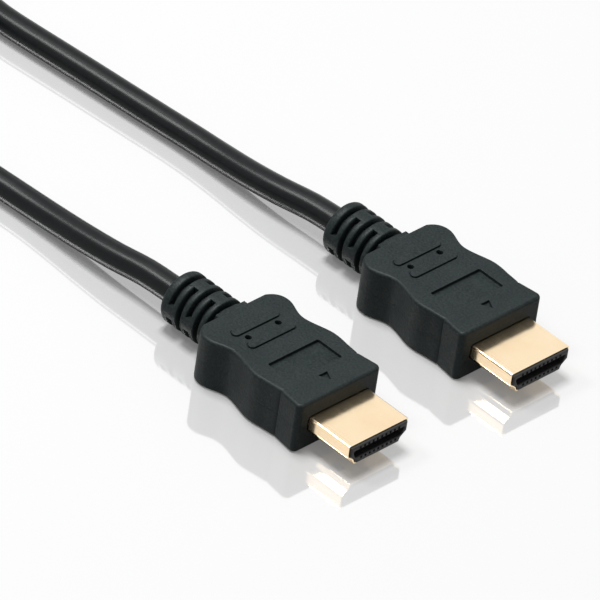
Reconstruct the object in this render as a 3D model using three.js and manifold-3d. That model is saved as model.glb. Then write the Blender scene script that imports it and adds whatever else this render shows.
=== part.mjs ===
// Audio and video interconnect cable: two moulded plugs with gold-plated shells on one round
// cable, lying side by side, with the spare cable wound in a neat coil behind them.
// Millimetres. +X runs along the plugs towards their tips, +Y from plug A to plug B, +Z up.
// The origin is on the floor, in the middle of the box that holds both plugs.

import * as THREE from "three";
import { mergeVertices } from "three/addons/utils/BufferGeometryUtils.js";
import Module from "manifold-3d";

const wasm = await Module();
wasm.setup();

// Moulded plug body
const BODY_LENGTH = 26.0;
const BODY_THICKNESS = 10.0;
const BODY_HALF_FRONT = 9.6;
const BODY_HALF_DIP = 9.05;
const BODY_HALF_SWELL = 9.3;
const BODY_HALF_BULGE = 9.6;
const BODY_HALF_WAIST = 8.3;
const BODY_HALF_REAR = 9.7;
const FRONT_BLOCK_LENGTH = 5.2;
const SWELL_FROM_FRONT = 7.6;
const BULGE_FROM_FRONT = 11.6;
const WAIST_FROM_FRONT = 17.6;
const FRONT_CORNER_RADIUS = 1.1;
const REAR_CORNER_RADIUS = 3.4;
const REAR_CORNER_FULLNESS = 0.55;
const BODY_EDGE_RADIUS = 0.6;
const EDGE_STEPS = 2;
const EDGE_POINTS = 5;

// Marks moulded in the top face
const PAD_LENGTH = 10.6;
const PAD_WIDTH = 1.6;
const PAD_HEIGHT = 0.25;
const PAD_ROOT = 0.5;
const PAD_PITCH = 4.0;
const PADS_FROM_REAR = 7.15;
const PAD_HOLE_RADIUS = 0.6;
const PAD_HOLE_DEPTH = 1.0;
const PAD_HOLE_SPREAD = 3.5;
const PANEL_LENGTH = 5.8;
const PANEL_WIDTH = 11.8;
const PANEL_DEPTH = 0.4;
const PANEL_REAR_FROM_FRONT = 11.65;
const ARROW_BASE = 2.1;
const ARROW_LENGTH = 2.0;
const ARROW_DEPTH = 0.35;
const ARROW_TIP_FROM_FRONT = 2.5;

// Strain relief, one moulding with the body
const BOOT_LENGTH = 12.3;
const BOOT_RADIUS = 5.0;
const BOOT_CORE_RADIUS = 3.6;
const BOOT_END_ROUND = 0.9;
const BOOT_BURY = 1.0;
const BOOT_FACETS = 28;
const SLOT_COUNT = 5;
const SLOT_PITCH = 2.1;
const SLOT_WIDTH = 1.0;
const FIRST_SLOT_FROM_BODY = 1.5;
const BRIDGE_WIDTH = 2.6;

// Metal shell
const SHELL_EXPOSED = 9.6;
const SHELL_BURIED = 6.0;
const SHELL_WIDTH = 13.9;
const SHELL_HEIGHT = 4.45;
const SHELL_WALL = 0.3;
const SHELL_SIDE_HEIGHT = 2.5;
const SHELL_STEP_HEIGHT = 1.0;
const SHELL_STEP_INSET = 1.35;
const SHELL_FOOT_INSET = 1.75;
const SHELL_CENTRE_HEIGHT = 4.4;
const LATCH_WINDOW = 2.2;
const LATCH_SPREAD = 3.85;
const LATCH_FROM_TIP = 4.7;

// Black insert in the shell, with the slot that takes the socket's tongue
const INSERT_LIP = 0.4;
const INSERT_BURIED = 4.5;
const TONGUE_SLOT_WIDTH = 11.4;
const TONGUE_SLOT_HEIGHT = 1.5;
const TONGUE_SLOT_DEPTH = 8.8;
const TONGUE_SLOT_RISE = 0.2;

// Contacts in grooves above and below the slot
const UPPER_CONTACTS = 10;
const LOWER_CONTACTS = 9;
const CONTACT_PITCH = 1.0;
const CONTACT_WIDTH = 0.4;
const CONTACT_THICKNESS = 0.15;
const CONTACT_LENGTH = 6.5;
const CONTACT_SETBACK = 1.0;
const GROOVE_WIDTH = 0.64;
const GROOVE_DEPTH = 0.39;

// Clearances, how far a cutting solid runs past what it cuts, and the weld of mesh points
const PIECE_GAP = 0.3;
const CONTACT_GAP = 0.12;
const CUT_MARGIN = 1.0;
const WELD = 1e-4;

// Where the two plugs lie
const PLUG_SPACING = 36.5;
const PLUG_STAGGER = 1.95;

// Cable, its coil and the tie
const CABLE_DIAMETER = 5.0;
const CABLE_FACETS = 10;
const COIL_CENTRE = [-143.5, -10.5];
const TURN_PITCH = 5.1;
const INNER_TURN_RADIUS = 21.0;
const TURN_COLUMNS = 4;
const TURN_LAYERS = 2;
const COIL_EDGE_RADIUS = 1.8;
const COIL_FACETS = 72;
const TIE_WIDTH = 9.0;
const TIE_THICKNESS = 0.8;

// Each cable end, by hand, from behind its strain relief to the side of the coil
const CABLE_A_POINTS = [
  [-25.42, -18.25, 5.0],
  [-33.0, -18.4, 4.75],
  [-40.0, -19.0, 4.1],
  [-47.0, -19.25, 3.5],
  [-54.0, -19.3, 2.95],
  [-61.0, -19.4, 2.6],
  [-68.0, -19.75, 2.52],
  [-75.0, -20.25, 2.52],
  [-82.0, -21.1, 2.52],
  [-89.0, -22.7, 2.52],
  [-95.5, -24.8, 2.52],
  [-101.5, -27.25, 2.52],
  [-107.4, -30.15, 2.52],
];
const CABLE_B_POINTS = [
  [-23.47, 18.25, 5.0],
  [-30.0, 17.95, 4.75],
  [-37.0, 17.15, 4.15],
  [-44.0, 16.8, 3.5],
  [-51.0, 16.75, 2.95],
  [-58.0, 16.6, 2.65],
  [-65.0, 16.15, 2.52],
  [-73.0, 15.5, 2.52],
  [-81.0, 14.9, 2.52],
  [-89.0, 14.25, 2.52],
  [-96.0, 13.65, 2.52],
  [-101.0, 13.3, 2.52],
  [-105.6, 13.35, 2.52],
  [-111.3, 14.3, 2.52],
];

const blackPlastic = new THREE.MeshStandardMaterial({ color: 0x2b3030, roughness: 0.62 });
const insertPlastic = new THREE.MeshStandardMaterial({ color: 0x101111, roughness: 0.45 });
const goldPlate = new THREE.MeshStandardMaterial({ color: 0xe8c98f, roughness: 0.25, metalness: 1 });
const cableSheath = new THREE.MeshStandardMaterial({ color: 0x141617, roughness: 0.4 });
const tieFabric = new THREE.MeshStandardMaterial({ color: 0x1a1a1a, roughness: 0.9 });

// Plug A's front face stands where the two plugs reach as far behind the origin as ahead of it.
const PLUG_BACK = BODY_LENGTH + BOOT_LENGTH;
const PLUG_AHEAD = SHELL_EXPOSED + INSERT_LIP;
const PLUG_A_FRONT_X = (PLUG_BACK - PLUG_AHEAD - PLUG_STAGGER) / 2;

// Turns a mesh geometry into a solid for cutting and joining.
function solidOf(geometry) {
  const bare = geometry.index ? geometry.toNonIndexed() : geometry.clone();
  bare.deleteAttribute("normal");
  bare.deleteAttribute("uv");
  const merged = mergeVertices(bare, WELD);
  return new wasm.Manifold(
    new wasm.Mesh({
      numProp: 3,
      vertProperties: merged.attributes.position.array,
      triVerts: new Uint32Array(merged.index.array),
    }),
  );
}

// Turns a solid back into a mesh geometry.
function geometryOf(solid) {
  const mesh = solid.getMesh();
  const geometry = new THREE.BufferGeometry();
  geometry.setAttribute("position", new THREE.BufferAttribute(mesh.vertProperties, 3));
  geometry.setIndex(new THREE.BufferAttribute(mesh.triVerts, 1));
  geometry.computeVertexNormals();
  return geometry;
}

// A box with its middle at x, y, z.
function boxSolid(length, width, height, x, y, z) {
  const box = new THREE.BoxGeometry(length, width, height);
  box.translate(x, y, z);
  return solidOf(box);
}

// A plan outline raised from z = bottom, with sharp edges.
function raised(shape, bottom, height) {
  const geometry = new THREE.ExtrudeGeometry(shape, {
    depth: height,
    bevelEnabled: false,
    curveSegments: 5,
  });
  geometry.translate(0, 0, bottom);
  return geometry;
}

// A closed outline's points moved inwards by inset, each along the mean normal of its two sides.
function insetOutline(points, inset) {
  const count = points.length;
  return points.map((point, i) => {
    const before = points[(i + count - 1) % count];
    const after = points[(i + 1) % count];
    const along = after.clone().sub(before).normalize();
    return new THREE.Vector2(point.x - along.y * inset, point.y + along.x * inset);
  });
}

// A slab standing on z = 0 with the plan of the shape and its top and bottom edges rounded.
function roundedSlab(shape, height, edge) {
  const points = shape.getPoints(EDGE_POINTS).slice(0, -1);
  const levels = [];
  for (let i = 0; i <= EDGE_STEPS; i++) {
    const angle = (i / EDGE_STEPS) * (Math.PI / 2);
    levels.push([edge * (1 - Math.sin(angle)), edge * (1 - Math.cos(angle))]);
  }
  const upper = levels.map(([inset, z]) => [inset, height - z]).reverse();
  const layers = [...levels, ...upper];
  const position = [];
  for (const [inset, z] of layers) {
    for (const point of insetOutline(points, inset)) {
      position.push(point.x, point.y, z);
    }
  }
  const count = points.length;
  const index = [];
  for (let layer = 0; layer + 1 < layers.length; layer++) {
    for (let i = 0; i < count; i++) {
      const low = layer * count + i;
      const lowNext = layer * count + ((i + 1) % count);
      index.push(low, lowNext, lowNext + count, low, lowNext + count, low + count);
    }
  }
  const top = (layers.length - 1) * count;
  for (const [a, b, c] of THREE.ShapeUtils.triangulateShape(insetOutline(points, edge), [])) {
    index.push(c, b, a, top + a, top + b, top + c);
  }
  const geometry = new THREE.BufferGeometry();
  geometry.setAttribute("position", new THREE.Float32BufferAttribute(position, 3));
  geometry.setIndex(index);
  return geometry;
}

// A section in the plug's Y and Z, drawn out along X from fromX to toX.
function drawnAlongX(shape, fromX, toX) {
  const geometry = new THREE.ExtrudeGeometry(shape, {
    depth: toX - fromX,
    bevelEnabled: false,
    curveSegments: 4,
  });
  // The shape's x becomes Y, its y becomes Z, and the extrusion runs along X.
  geometry.applyMatrix4(new THREE.Matrix4().makeBasis(
    new THREE.Vector3(0, 1, 0),
    new THREE.Vector3(0, 0, 1),
    new THREE.Vector3(1, 0, 0),
  ));
  geometry.translate(fromX, 0, 0);
  return geometry;
}

// Half widths along the body's side, from the front block to the rear corner.
const SIDE_WAVE = [
  [-FRONT_BLOCK_LENGTH, BODY_HALF_DIP],
  [-SWELL_FROM_FRONT, BODY_HALF_SWELL],
  [-BULGE_FROM_FRONT, BODY_HALF_BULGE],
  [-WAIST_FROM_FRONT, BODY_HALF_WAIST],
  [-BODY_LENGTH + REAR_CORNER_RADIUS, BODY_HALF_REAR],
];

function bodyOutline() {
  const wave = SIDE_WAVE.map(([x, y]) => new THREE.Vector2(x, y));
  const rearSide = -BODY_LENGTH + REAR_CORNER_RADIUS * REAR_CORNER_FULLNESS;
  const cornerY = BODY_HALF_REAR - REAR_CORNER_RADIUS;
  const shape = new THREE.Shape();
  shape.moveTo(-FRONT_CORNER_RADIUS, BODY_HALF_FRONT);
  shape.lineTo(wave[0].x, wave[0].y);
  shape.splineThru(wave.slice(1));
  shape.quadraticCurveTo(rearSide, BODY_HALF_REAR, -BODY_LENGTH, cornerY);
  shape.lineTo(-BODY_LENGTH, -cornerY);
  shape.quadraticCurveTo(
    rearSide,
    -BODY_HALF_REAR,
    -BODY_LENGTH + REAR_CORNER_RADIUS,
    -BODY_HALF_REAR,
  );
  shape.splineThru(wave.slice(0, -1).reverse().map((p) => new THREE.Vector2(p.x, -p.y)));
  shape.lineTo(-FRONT_CORNER_RADIUS, -BODY_HALF_FRONT);
  shape.quadraticCurveTo(0, -BODY_HALF_FRONT, 0, -BODY_HALF_FRONT + FRONT_CORNER_RADIUS);
  shape.lineTo(0, BODY_HALF_FRONT - FRONT_CORNER_RADIUS);
  shape.quadraticCurveTo(0, BODY_HALF_FRONT, -FRONT_CORNER_RADIUS, BODY_HALF_FRONT);
  return shape;
}

// A stadium with its long side across the plug, centred at x.
function padOutline(x) {
  const half = PAD_LENGTH / 2 - PAD_WIDTH / 2;
  const shape = new THREE.Shape();
  shape.absarc(x, half, PAD_WIDTH / 2, 0, Math.PI, false);
  shape.absarc(x, -half, PAD_WIDTH / 2, Math.PI, 2 * Math.PI, false);
  return shape;
}

// The middle of the two pads, which sit near the body's rear.
const PADS_X = -BODY_LENGTH + PADS_FROM_REAR;

function padSolid(x) {
  const bottom = BODY_THICKNESS - PAD_ROOT;
  return solidOf(raised(padOutline(x), bottom, PAD_ROOT + PAD_HEIGHT));
}

function padHoleSolid(y) {
  const hole = new THREE.CylinderGeometry(PAD_HOLE_RADIUS, PAD_HOLE_RADIUS, 2 * PAD_HOLE_DEPTH, 12);
  hole.rotateX(Math.PI / 2);
  hole.translate(PADS_X, y, BODY_THICKNESS);
  return solidOf(hole);
}

function panelSolid() {
  const x = -PANEL_REAR_FROM_FRONT + PANEL_LENGTH / 2;
  return boxSolid(PANEL_LENGTH, PANEL_WIDTH, 2 * PANEL_DEPTH, x, 0, BODY_THICKNESS);
}

function arrowSolid() {
  const shape = new THREE.Shape();
  shape.moveTo(-ARROW_TIP_FROM_FRONT, 0);
  shape.lineTo(-ARROW_TIP_FROM_FRONT - ARROW_LENGTH, ARROW_BASE / 2);
  shape.lineTo(-ARROW_TIP_FROM_FRONT - ARROW_LENGTH, -ARROW_BASE / 2);
  return solidOf(raised(shape, BODY_THICKNESS - ARROW_DEPTH, 2 * ARROW_DEPTH));
}

// A turned form about the plug's long axis at the body's mid height, from radius and x pairs.
function turnedAlongX(pairs) {
  const geometry = new THREE.LatheGeometry(
    pairs.map(([radius, x]) => new THREE.Vector2(radius, x)),
    BOOT_FACETS,
  );
  geometry.rotateZ(-Math.PI / 2);
  geometry.translate(0, 0, BODY_THICKNESS / 2);
  return solidOf(geometry);
}

function bootSolid() {
  const rear = -BODY_LENGTH - BOOT_LENGTH;
  const corner = BOOT_END_ROUND * (1 - Math.SQRT1_2);
  let boot = turnedAlongX([
    [0, rear],
    [BOOT_RADIUS - BOOT_END_ROUND, rear],
    [BOOT_RADIUS - corner, rear + corner],
    [BOOT_RADIUS, rear + BOOT_END_ROUND],
    [BOOT_RADIUS, -BODY_LENGTH + BOOT_BURY],
    [0, -BODY_LENGTH + BOOT_BURY],
  ]);
  for (let i = 0; i < SLOT_COUNT; i++) {
    boot = boot.subtract(slotSolid(i));
  }
  return boot;
}

// One groove round the strain relief, left open but for two bridges across from each other.
// The bridges stand at the sides in one groove and at the top and bottom in the next.
function slotSolid(i) {
  const middle = -BODY_LENGTH - FIRST_SLOT_FROM_BODY - i * SLOT_PITCH;
  const outside = BOOT_RADIUS + CUT_MARGIN;
  const ring = turnedAlongX([
    [BOOT_CORE_RADIUS, middle - SLOT_WIDTH / 2],
    [outside, middle - SLOT_WIDTH / 2],
    [outside, middle + SLOT_WIDTH / 2],
    [BOOT_CORE_RADIUS, middle + SLOT_WIDTH / 2],
    [BOOT_CORE_RADIUS, middle - SLOT_WIDTH / 2],
  ]);
  const long = 2 * (outside + CUT_MARGIN);
  const upright = i % 2 === 1;
  const bridges = boxSolid(
    2 * SLOT_WIDTH,
    upright ? BRIDGE_WIDTH : long,
    upright ? long : BRIDGE_WIDTH,
    middle,
    0,
    BODY_THICKNESS / 2,
  );
  return ring.subtract(bridges);
}

// The shell's section, wide side up, moved in by inset on every side.
function shellOutline(inset) {
  const half = SHELL_WIDTH / 2 - inset;
  const top = SHELL_CENTRE_HEIGHT + SHELL_HEIGHT / 2 - inset;
  const bottom = SHELL_CENTRE_HEIGHT - SHELL_HEIGHT / 2 + inset;
  const sideFoot = SHELL_CENTRE_HEIGHT + SHELL_HEIGHT / 2 - SHELL_SIDE_HEIGHT + inset / 2;
  const stepFoot = sideFoot - SHELL_STEP_HEIGHT;
  const shape = new THREE.Shape();
  shape.moveTo(-half, top);
  shape.lineTo(-half, sideFoot);
  shape.lineTo(-half + SHELL_STEP_INSET, stepFoot);
  shape.lineTo(-half + SHELL_FOOT_INSET, bottom);
  shape.lineTo(half - SHELL_FOOT_INSET, bottom);
  shape.lineTo(half - SHELL_STEP_INSET, stepFoot);
  shape.lineTo(half, sideFoot);
  shape.lineTo(half, top);
  return shape;
}

function overmouldGeometry() {
  const pocketRear = -SHELL_BURIED - PIECE_GAP;
  const pocket = solidOf(drawnAlongX(shellOutline(-PIECE_GAP), pocketRear, SHELL_EXPOSED));
  const solid = solidOf(roundedSlab(bodyOutline(), BODY_THICKNESS, BODY_EDGE_RADIUS))
    .add(padSolid(PADS_X - PAD_PITCH / 2))
    .add(padSolid(PADS_X + PAD_PITCH / 2))
    .subtract(padHoleSolid(PAD_HOLE_SPREAD))
    .subtract(padHoleSolid(-PAD_HOLE_SPREAD))
    .subtract(panelSolid())
    .subtract(arrowSolid())
    .add(bootSolid())
    .subtract(pocket);
  return geometryOf(solid);
}

function shellGeometry() {
  const boreRear = -SHELL_BURIED - CUT_MARGIN;
  const bore = solidOf(drawnAlongX(shellOutline(SHELL_WALL), boreRear, SHELL_EXPOSED + CUT_MARGIN));
  let solid = solidOf(drawnAlongX(shellOutline(0), -SHELL_BURIED, SHELL_EXPOSED)).subtract(bore);
  const windowX = SHELL_EXPOSED - LATCH_FROM_TIP;
  const floorZ = SHELL_CENTRE_HEIGHT - SHELL_HEIGHT / 2;
  for (const side of [-1, 1]) {
    const y = side * LATCH_SPREAD;
    const hole = boxSolid(LATCH_WINDOW, LATCH_WINDOW, 3 * SHELL_WALL, windowX, y, floorZ);
    solid = solid.subtract(hole);
  }
  return geometryOf(solid);
}

const SLOT_MIDDLE_Z = SHELL_CENTRE_HEIGHT + TONGUE_SLOT_RISE;

// Y of contact i in a row of count, centred on the plug.
function contactY(i, count) {
  return (i - (count - 1) / 2) * CONTACT_PITCH;
}

function insertGeometry() {
  const rear = -INSERT_BURIED;
  const front = SHELL_EXPOSED + INSERT_LIP;
  const slotLength = TONGUE_SLOT_DEPTH + CUT_MARGIN;
  const slotX = front + CUT_MARGIN - slotLength / 2;
  let slot = boxSolid(
    slotLength,
    TONGUE_SLOT_WIDTH,
    TONGUE_SLOT_HEIGHT,
    slotX,
    0,
    SLOT_MIDDLE_Z,
  );
  for (const [side, count] of [[1, UPPER_CONTACTS], [-1, LOWER_CONTACTS]]) {
    for (let i = 0; i < count; i++) {
      const z = SLOT_MIDDLE_Z + side * TONGUE_SLOT_HEIGHT / 2;
      const groove = boxSolid(
        slotLength,
        GROOVE_WIDTH,
        2 * GROOVE_DEPTH,
        slotX,
        contactY(i, count),
        z,
      );
      slot = slot.add(groove);
    }
  }
  const body = solidOf(drawnAlongX(shellOutline(SHELL_WALL + PIECE_GAP), rear, front));
  return geometryOf(body.subtract(slot));
}

// A flat contact lying in the roof (side 1) or the floor (side -1) of the slot.
function contactGeometry(side) {
  const contact = new THREE.BoxGeometry(CONTACT_LENGTH, CONTACT_WIDTH, CONTACT_THICKNESS);
  const wall = TONGUE_SLOT_HEIGHT / 2 + GROOVE_DEPTH;
  contact.translate(
    SHELL_EXPOSED + INSERT_LIP - CONTACT_SETBACK - CONTACT_LENGTH / 2,
    0,
    SLOT_MIDDLE_Z + side * (wall - CONTACT_GAP - CONTACT_THICKNESS / 2),
  );
  return contact;
}

// One plug with its front face at the group's origin.
function makePlug(letter) {
  const plug = new THREE.Group();
  const add = (name, geometry, material, y = 0) => {
    const mesh = new THREE.Mesh(geometry, material);
    mesh.name = `plug_${letter}_${name}`;
    mesh.position.y = y;
    plug.add(mesh);
  };
  add("overmould", overmouldGeometry(), blackPlastic);
  add("shell", shellGeometry(), goldPlate);
  add("insert", insertGeometry(), insertPlastic);
  for (const [row, side, count] of [["upper", 1, UPPER_CONTACTS], ["lower", -1, LOWER_CONTACTS]]) {
    for (let i = 0; i < count; i++) {
      add(`contact_${row}_${i + 1}`, contactGeometry(side), goldPlate, contactY(i, count));
    }
  }
  return plug;
}

// A round tube of the cable's diameter along hand-chosen points.
function cableGeometry(points) {
  const curve = new THREE.CatmullRomCurve3(points.map((p) => new THREE.Vector3(...p)));
  const section = new THREE.Shape();
  const radius = CABLE_DIAMETER / 2;
  for (let i = 0; i < CABLE_FACETS; i++) {
    const angle = (i / CABLE_FACETS) * 2 * Math.PI;
    const x = radius * Math.cos(angle);
    const y = radius * Math.sin(angle);
    if (i === 0) {
      section.moveTo(x, y);
    } else {
      section.lineTo(x, y);
    }
  }
  return new THREE.ExtrudeGeometry(section, {
    steps: points.length - 1,
    extrudePath: curve,
    bevelEnabled: false,
  });
}

const COIL_INNER = INNER_TURN_RADIUS - CABLE_DIAMETER / 2;
const COIL_OUTER = INNER_TURN_RADIUS + (TURN_COLUMNS - 1) * TURN_PITCH + CABLE_DIAMETER / 2;
const COIL_HEIGHT = CABLE_DIAMETER + (TURN_LAYERS - 1) * TURN_PITCH;
const TIE_RISE = TIE_THICKNESS + PIECE_GAP;

// The outer form of the wound cable: a ring with rounded edges, pinched where the tie holds it.
function coilGeometry() {
  const edge = COIL_EDGE_RADIUS;
  const corner = edge * (1 - Math.SQRT1_2);
  const profile = [
    [COIL_INNER + edge, 0],
    [COIL_OUTER - edge, 0],
    [COIL_OUTER - corner, corner],
    [COIL_OUTER, edge],
    [COIL_OUTER, COIL_HEIGHT - edge],
    [COIL_OUTER - corner, COIL_HEIGHT - corner],
    [COIL_OUTER - edge, COIL_HEIGHT],
    [COIL_INNER + edge, COIL_HEIGHT],
    [COIL_INNER + corner, COIL_HEIGHT - corner],
    [COIL_INNER, COIL_HEIGHT - edge],
    [COIL_INNER, edge],
    [COIL_INNER + corner, corner],
    [COIL_INNER + edge, 0],
  ].map(([radius, z]) => new THREE.Vector2(radius, z));
  const ring = new THREE.LatheGeometry(profile, COIL_FACETS);
  ring.rotateX(Math.PI / 2);
  const width = COIL_OUTER - COIL_INNER + 2 * CUT_MARGIN;
  const middle = -(COIL_INNER + COIL_OUTER) / 2;
  const pinch = TIE_WIDTH + 2 * PIECE_GAP;
  return geometryOf(
    solidOf(ring)
      .subtract(boxSolid(width, pinch, 2 * TIE_RISE, middle, 0, 0))
      .subtract(boxSolid(width, pinch, 2 * TIE_RISE, middle, 0, COIL_HEIGHT)),
  );
}

// A flat strap right round the coil's section on its far side. The ring curves back from the
// strap's middle, so the strap's near side clears the bore at the strap's own edges.
function tieGeometry() {
  const nearSide = Math.sqrt(COIL_INNER ** 2 - (TIE_WIDTH / 2) ** 2) - PIECE_GAP;
  const farSide = COIL_OUTER + PIECE_GAP;
  const inner = farSide - nearSide;
  const middle = -(nearSide + farSide) / 2;
  const height = COIL_HEIGHT - 2 * TIE_THICKNESS;
  const outside = boxSolid(
    inner + 2 * TIE_THICKNESS,
    TIE_WIDTH,
    COIL_HEIGHT,
    middle,
    0,
    COIL_HEIGHT / 2,
  );
  const hole = boxSolid(inner, TIE_WIDTH + CUT_MARGIN, height, middle, 0, COIL_HEIGHT / 2);
  return geometryOf(outside.subtract(hole));
}

const cable = new THREE.Group();
cable.name = "cable";

const plugA = makePlug("a");
plugA.position.set(PLUG_A_FRONT_X, -PLUG_SPACING / 2, 0);
cable.add(plugA);

const plugB = makePlug("b");
plugB.position.set(PLUG_A_FRONT_X + PLUG_STAGGER, PLUG_SPACING / 2, 0);
cable.add(plugB);

for (const [name, points] of [["cable_end_a", CABLE_A_POINTS], ["cable_end_b", CABLE_B_POINTS]]) {
  const tube = new THREE.Mesh(cableGeometry(points), cableSheath);
  tube.name = name;
  cable.add(tube);
}

for (const [name, geometry, material] of [
  ["cable_coil", coilGeometry(), cableSheath],
  ["coil_tie", tieGeometry(), tieFabric],
]) {
  const mesh = new THREE.Mesh(geometry, material);
  mesh.name = name;
  mesh.position.set(COIL_CENTRE[0], COIL_CENTRE[1], 0);
  cable.add(mesh);
}

export default cable;
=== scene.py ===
"""Audio and video cable: two moulded plugs on one round cable, in metres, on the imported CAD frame.

+X runs along the plugs towards their tips, +Y from plug A to plug B, +Z up from the floor.
"""
import math

import bmesh
import bpy
from mathutils import Matrix, Vector


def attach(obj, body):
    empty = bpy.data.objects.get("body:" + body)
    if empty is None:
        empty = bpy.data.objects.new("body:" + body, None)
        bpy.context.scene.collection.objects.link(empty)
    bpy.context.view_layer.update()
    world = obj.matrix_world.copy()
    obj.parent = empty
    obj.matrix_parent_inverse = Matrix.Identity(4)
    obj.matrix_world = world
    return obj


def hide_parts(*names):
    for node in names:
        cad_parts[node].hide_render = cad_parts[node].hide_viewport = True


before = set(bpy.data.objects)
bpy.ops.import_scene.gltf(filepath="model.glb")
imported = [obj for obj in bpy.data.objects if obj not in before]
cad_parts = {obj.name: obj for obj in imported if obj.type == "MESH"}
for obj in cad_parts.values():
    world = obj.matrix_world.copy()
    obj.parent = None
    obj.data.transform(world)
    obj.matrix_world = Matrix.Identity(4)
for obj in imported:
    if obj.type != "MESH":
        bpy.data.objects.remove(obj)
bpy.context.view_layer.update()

MM = 0.001

# Where the plugs lie: the front face of each moulded body, and its long axis
PLUG_AXIS_Y = {"a": -18.25 * MM, "b": 18.25 * MM}
PLUG_FRONT_X = {"a": 13.175 * MM, "b": 15.125 * MM}

# Sizes of a plug in millimetres, from the middle of its front face: x ahead, y across, z up
BODY_LONG = 26.0
BODY_THICK = 10.0
BODY_EDGE = 0.6
EDGE_MIDDLE = 0.3
PARTING_HALF = 0.07
FRONT_HALF = 9.6
FRONT_CORNER = 1.1
CREASE_X = -5.2
CREASE_HALF = 9.05
CREASE_DEPTH = 0.1
CREASE_RUN = 0.22
CREASE_LIP = 0.03
SIDE_WAVE = [(-5.45, 9.08), (-7.6, 9.3), (-11.6, 9.6), (-17.6, 8.3), (-22.6, 9.7)]
REAR_HALF = 7.2
REAR_PULL = 25.0
REAR_STEPS = 12
SIDE_STEP = 0.5
PARTING_DEPTH = 0.035
PAD_X = [-20.85, -16.85]
PAD_HALF = 5.3
PAD_WIDE = 1.6
PAD_HIGH = 0.25
PAD_MOAT = 0.16
MOAT_RIM = 0.05
PAD_EDGE = 0.1
PAD_SUNK = 0.5
PAD_ROUND = 0.98
HOLE_X = -18.85
HOLE_Y = 3.5
HOLE_RADIUS = 0.6
HOLE_DEEP = 1.0
HOLE_RIM = 0.1
PANEL_X = [-11.65, -5.85]
PANEL_HALF = 5.9
PANEL_DEEP = 0.65
PANEL_CORNER = 0.3
PANEL_RIM = 0.09
ARROW = [(-2.5, 0.0), (-4.5, 1.05), (-4.5, -1.05)]
ARROW_DEEP = 0.55
ARROW_RIM = 0.06
SUNK_FLOOR_EDGE = 0.08
CUT_ABOVE = 0.6
CUT_BEYOND = 1
BOOT_LONG = 12.3
BOOT_RADIUS = 5.0
BOOT_CORE = 3.6
BOOT_BORE = 2.58
BOOT_AXIS_HEIGHT = BODY_THICK / 2
BOOT_ROUND = 0.9
BOOT_MOUTH_DEEP = 0.35
BOOT_MOUTH_WIDER = 0.3
BOOT_INTO_BODY = 1.2
SLOT_X = [-27.5, -29.6, -31.7, -33.8, -35.9]
SLOT_WIDE = 1.0
SLOT_RIM = 0.22
SLOT_RIM_LEVELS = (1.0, 0.4, 0.0)
SLOT_RIM_CURVE = 1.6
SLOT_STEPS = 40
BRIDGE_ANGLE = 15
NECK_X = -27.0
NECK_HALF = 3.4
NECK_TOP = 9.6
NECK_BOTTOM = 6
NECK_CORNER = 0.3
NECK_EDGE = 0.15
NECK_OFF_BODY = 0.01
SHELL_LONG = 9.6
SHELL_BURIED = 6.0
SHELL_HALF = 6.95
SHELL_TOP = 6.625
SHELL_BOTTOM = 2.175
SHELL_WALL = 0.3
SHELL_RIM = 0.09
SHELL_TIGHTEST = 0.07
# Half of the shell's section from the top down: y, z and the radius of the corner
SHELL_SIDE = [
    (SHELL_HALF, SHELL_TOP, 0.4),
    (SHELL_HALF, SHELL_TOP - 2.5, 0.5),
    (SHELL_HALF - 1.35, SHELL_TOP - 3.5, 0.35),
    (SHELL_HALF - 1.75, SHELL_BOTTOM, 0.4),
]
POCKET_GAP = 0.1
POCKET_MOUTH = 0.22
POCKET_LIP = 0.12
SEAM_BELOW_TOP = 0.5
SEAM_BEYOND = 2
SIDE_SEAM = (0.1, 0.06)
UNDER_SEAM = (0.07, 0.16)
WINDOW = 2.2
WINDOW_CORNER = 0.25
WINDOW_X = 4.9
WINDOW_Y = 3.85
INSERT_FRONT = 10.0
INSERT_REAR = -4.5
INSERT_GAP = 0.07
INSERT_BORDER = 0.28
TONGUE_HALF = 6.05
TONGUE_LOW_HALF = 5.4
TONGUE_HIGH = 1.5
TONGUE_DEEP = 8.8
TONGUE_Z = 4.6
TONGUE_TOP_CORNER = 0.25
TONGUE_LOW_CORNER = 0.3
MOUTH_EDGE = 0.14
CONTACT_ROWS = {"upper": 10, "lower": 9}
CONTACT_PITCH = 1.0
CONTACT_HOLE = 0.46
CONTACT_RIB = 0.17
CONTACT_OPEN = TONGUE_DEEP - 1.6
RIB_OVERLAP = 0.2
# Angle in degrees past which an edge is shaded as a crease
SHARP_ANGLE = {"body": 38, "shell": 40, "insert": 35}

# Cable and coil. Angles are in degrees round the coil, which is wound clockwise from above
CABLE_DIAMETER = 5.0 * MM
CABLE_INTO_BOOT = 1.5 * MM
CABLE_SIDES = 28
CABLE_STEP = 2.5 * MM
COIL_CENTRE = Vector((-143.5 * MM, -10.5 * MM))
TURN_RADII = [21.0 * MM, 26.1 * MM, 31.2 * MM, 36.3 * MM]
LOWER_LAYER = 2.52 * MM
UPPER_LAYER = 7.62 * MM
JOIN_A = 308
JOIN_B = 56
WHOLE_TURNS = 6
TURN_STEP = 4
STEP_IN = (240, 120)
STEP_OUT = (345, 225)
# Where the cable changes layer: the angle, and how many turns it has made by then
CLIMB = [(70, 2), (205, 3)]
DROP = [(155, 6), (105, 6)]

# Tie
TIE_ANGLE = 180
TIE_WIDTH = 9.0 * MM
TIE_THICKNESS = 0.42 * MM
TIE_LIFT = 0.48 * MM
TIE_SINK = 0.34 * MM
TIE_HOLDS = 9
TIE_EASES = 36
TIE_EDGE = 0.3 * TIE_THICKNESS
STRAP_ACROSS = [-0.5, -0.46, -0.25, 0, 0.25, 0.46, 0.5]
LAP_REACH = 4.5 * MM
LAP_LIFT = 1.05 * TIE_THICKNESS
LAP_WIDTH = 0.96 * TIE_WIDTH
CIRCLE_POINTS = 48

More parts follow.
